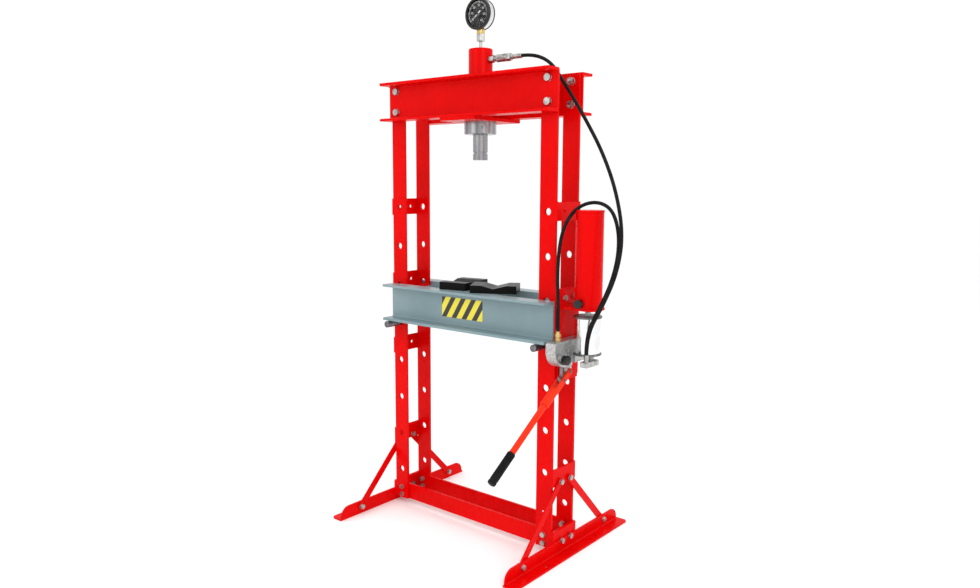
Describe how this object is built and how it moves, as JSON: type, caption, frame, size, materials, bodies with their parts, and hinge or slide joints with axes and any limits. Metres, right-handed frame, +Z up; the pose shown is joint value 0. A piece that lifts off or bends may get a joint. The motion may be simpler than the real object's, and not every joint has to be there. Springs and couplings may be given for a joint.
{
  "type": "hydraulic workshop press",
  "caption": "Floor-standing hydraulic workshop press: pinned uprights, channel head and bed, hand-lever pump, dial gauge and hoses.",
  "frame": {"origin": "on the floor under the ram axis, at the centre of the four floor anchor holes", "axes": "+Z up, -Y the operator's front, +X towards the upright that carries the pump"},
  "size_m": [1.0744, 0.7983, 1.931],
  "materials": {
    "red_paint": "gloss",
    "bed_paint": "satin",
    "zinc_plate": "bright zinc plate",
    "bright_plate": "bright plated",
    "dark_steel": "turned steel",
    "black_steel": "blackened steel",
    "brass": "turned",
    "stainless": "polished",
    "black_plastic": "gloss",
    "needle_paint": "matt",
    "gauge_glass": "clear",
    "label_film": "printed film",
    "cast_alloy": "as cast",
    "black_rubber": "matt"
  },
  "bodies": {
    "frame": {"braces_left": "red_paint", "braces_right": "red_paint", "cross_beam_front": "red_paint", "cross_beam_rear": "red_paint", "filler_cap": "black_plastic", "foot_left": "red_paint", "foot_right": "red_paint", "frame_bolts": "zinc_plate", "gauge_bezel": "black_plastic", "gauge_case": "stainless", "gauge_dial": "black_plastic", "gauge_glass": "gauge_glass", "gauge_neck": "brass", "gauge_nipple": "zinc_plate", "head_bolts": "zinc_plate", "head_channel_front": "red_paint", "head_channel_rear": "red_paint", "hose_a": "black_rubber", "hose_b": "black_rubber", "hose_elbow": "brass", "hose_manifold": "zinc_plate", "lock_ring": "bright_plate", "port_coupling": "zinc_plate", "post_front_left": "red_paint", "post_front_right": "red_paint", "post_rear_left": "red_paint", "post_rear_right": "red_paint", "pump_barrel": "bright_plate", "pump_block": "cast_alloy", "pump_bracket": "red_paint", "ram_cylinder": "red_paint", "ram_plate": "red_paint", "reservoir": "red_paint", "return_spring": "dark_steel", "tank_outlet": "zinc_plate", "tie_plates_left": "red_paint", "tie_plates_right": "red_paint", "wiper_ring": "black_rubber"},
    "ram": {"ram": "bright_plate", "piston_seal": "black_rubber"},
    "bed": {"bed_channel_front": "bed_paint", "bed_channel_rear": "bed_paint", "bed_spacers": "bed_paint", "hazard_label": "label_film", "v_block_left": "black_steel", "v_block_right": "black_steel"},
    "pin_left": {"bed_pin_left": "dark_steel"},
    "pin_right": {"bed_pin_right": "dark_steel"},
    "lever": {"lever_fork": "red_paint", "lever_pins": "dark_steel", "lever_tube": "red_paint", "lever_grip": "black_rubber"},
    "plunger": {"plunger": "dark_steel"},
    "knob": {"release_knob": "black_plastic"},
    "needle": {"gauge_needle": "needle_paint"}
  },
  "joints": [
    {"name": "ram_stroke", "type": "slide", "parent": "frame", "child": "ram", "axis": [0, 0, -1], "range_m": [0, 0.15], "stiffness_N_per_m": 1200, "springref_m": -0.08, "deforming": ["return_spring"]},
    {"name": "bed_lift", "type": "slide", "parent": "frame", "child": "bed", "axis": [0, 0, 1], "range_m": [0, 0.28]},
    {"name": "pin_left_pull", "type": "slide", "parent": "frame", "child": "pin_left", "axis": [0, -1, 0], "range_m": [0, 0.2]},
    {"name": "pin_right_pull", "type": "slide", "parent": "frame", "child": "pin_right", "axis": [0, -1, 0], "range_m": [0, 0.2]},
    {"name": "lever_swing", "type": "hinge", "parent": "frame", "child": "lever", "pos_m": [0.415, -0.03, 0.655], "axis": [-1, 0, 0], "range_deg": [0, 44.4]},
    {"name": "plunger_slide", "type": "slide", "parent": "frame", "child": "plunger", "axis": [0, 0, 1], "range_m": [0, 0.0312]},
    {"name": "release_turn", "type": "hinge", "parent": "frame", "child": "knob", "pos_m": [0.436, -0.088, 0.706], "axis": [1, 0, 0], "range_deg": [0, 180]},
    {"name": "needle_swing", "type": "hinge", "parent": "frame", "child": "needle", "pos_m": [0, -0.0173, 1.876], "axis": [0, 1, 0], "range_deg": [0, 270], "stiffness_Nm_per_rad": 0.0005, "springref_deg": -17.19}
  ],
  "couplings": [
    {"joint": "plunger_slide", "follows": "lever_swing", "m_per_rad": 0.04}
  ]
}
